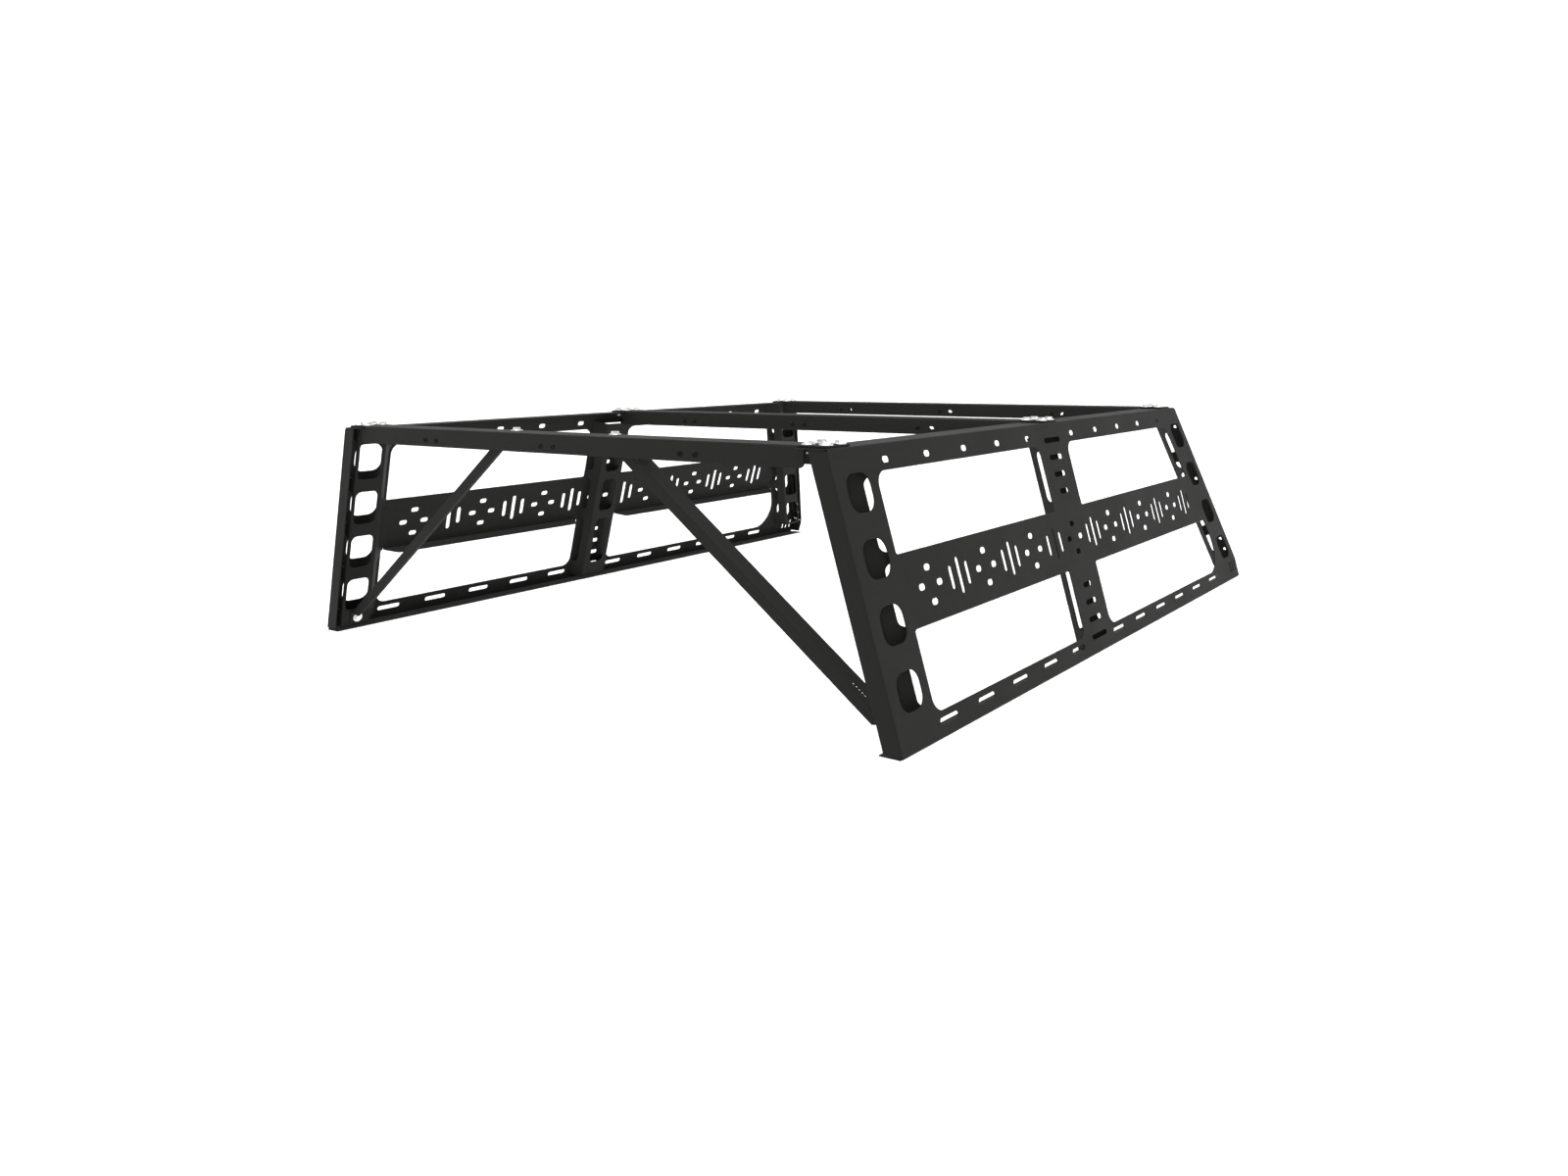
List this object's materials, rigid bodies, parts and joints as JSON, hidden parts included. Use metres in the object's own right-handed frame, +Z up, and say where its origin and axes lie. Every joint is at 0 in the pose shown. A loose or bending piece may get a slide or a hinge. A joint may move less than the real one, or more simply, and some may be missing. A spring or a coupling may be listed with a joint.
{
  "type": "pickup bed ladder rack",
  "caption": "Low ladder rack for a pickup bed: leaning perforated sheet side panels, bolted channel crossbars and diagonal rear braces.",
  "frame": {"origin": "on the plane under both feet, under the middle of the rack's length and width", "axes": "+X to the right side of the truck, +Y from the tailgate end towards the cab, +Z up"},
  "size_m": [1.4592, 1.717, 0.4511],
  "materials": {
    "black_powder_coat": "fine textured satin powder coat",
    "zinc_plate": "bright zinc plated fasteners"
  },
  "bodies": {
    "root": {"backing_strip_front_left_inner": "black_powder_coat", "backing_strip_front_left_outer": "black_powder_coat", "backing_strip_front_right_inner": "black_powder_coat", "backing_strip_front_right_outer": "black_powder_coat", "backing_strip_mid_left_inner": "black_powder_coat", "backing_strip_mid_left_outer": "black_powder_coat", "backing_strip_mid_right_inner": "black_powder_coat", "backing_strip_mid_right_outer": "black_powder_coat", "backing_strip_rear_left_inner": "black_powder_coat", "backing_strip_rear_left_outer": "black_powder_coat", "backing_strip_rear_right_inner": "black_powder_coat", "backing_strip_rear_right_outer": "black_powder_coat", "bolt_front_left_1": "zinc_plate", "bolt_front_left_2": "zinc_plate", "bolt_front_left_3": "zinc_plate", "bolt_front_left_4": "zinc_plate", "bolt_front_right_1": "zinc_plate", "bolt_front_right_2": "zinc_plate", "bolt_front_right_3": "zinc_plate", "bolt_front_right_4": "zinc_plate", "bolt_mid_left_1": "zinc_plate", "bolt_mid_left_2": "zinc_plate", "bolt_mid_left_3": "zinc_plate", "bolt_mid_left_4": "zinc_plate", "bolt_mid_right_1": "zinc_plate", "bolt_mid_right_2": "zinc_plate", "bolt_mid_right_3": "zinc_plate", "bolt_mid_right_4": "zinc_plate", "bolt_rear_left_1": "zinc_plate", "bolt_rear_left_2": "zinc_plate", "bolt_rear_left_3": "zinc_plate", "bolt_rear_left_4": "zinc_plate", "bolt_rear_right_1": "zinc_plate", "bolt_rear_right_2": "zinc_plate", "bolt_rear_right_3": "zinc_plate", "bolt_rear_right_4": "zinc_plate", "brace_left": "black_powder_coat", "brace_right": "black_powder_coat", "brace_toe_bolt_left": "zinc_plate", "brace_toe_bolt_right": "zinc_plate", "brace_toe_nut_left": "zinc_plate", "brace_toe_nut_right": "zinc_plate", "brace_top_bolt_left": "zinc_plate", "brace_top_bolt_right": "zinc_plate", "brace_top_nut_left": "zinc_plate", "brace_top_nut_right": "zinc_plate", "crossbar_front": "black_powder_coat", "crossbar_mid": "black_powder_coat", "crossbar_rear": "black_powder_coat", "front_upright_left": "black_powder_coat", "front_upright_right": "black_powder_coat", "mid_upright_left": "black_powder_coat", "mid_upright_right": "black_powder_coat", "rear_upright_left": "black_powder_coat", "rear_upright_right": "black_powder_coat", "side_panel_left": "black_powder_coat", "side_panel_right": "black_powder_coat"}
  },
  "joints": []
}
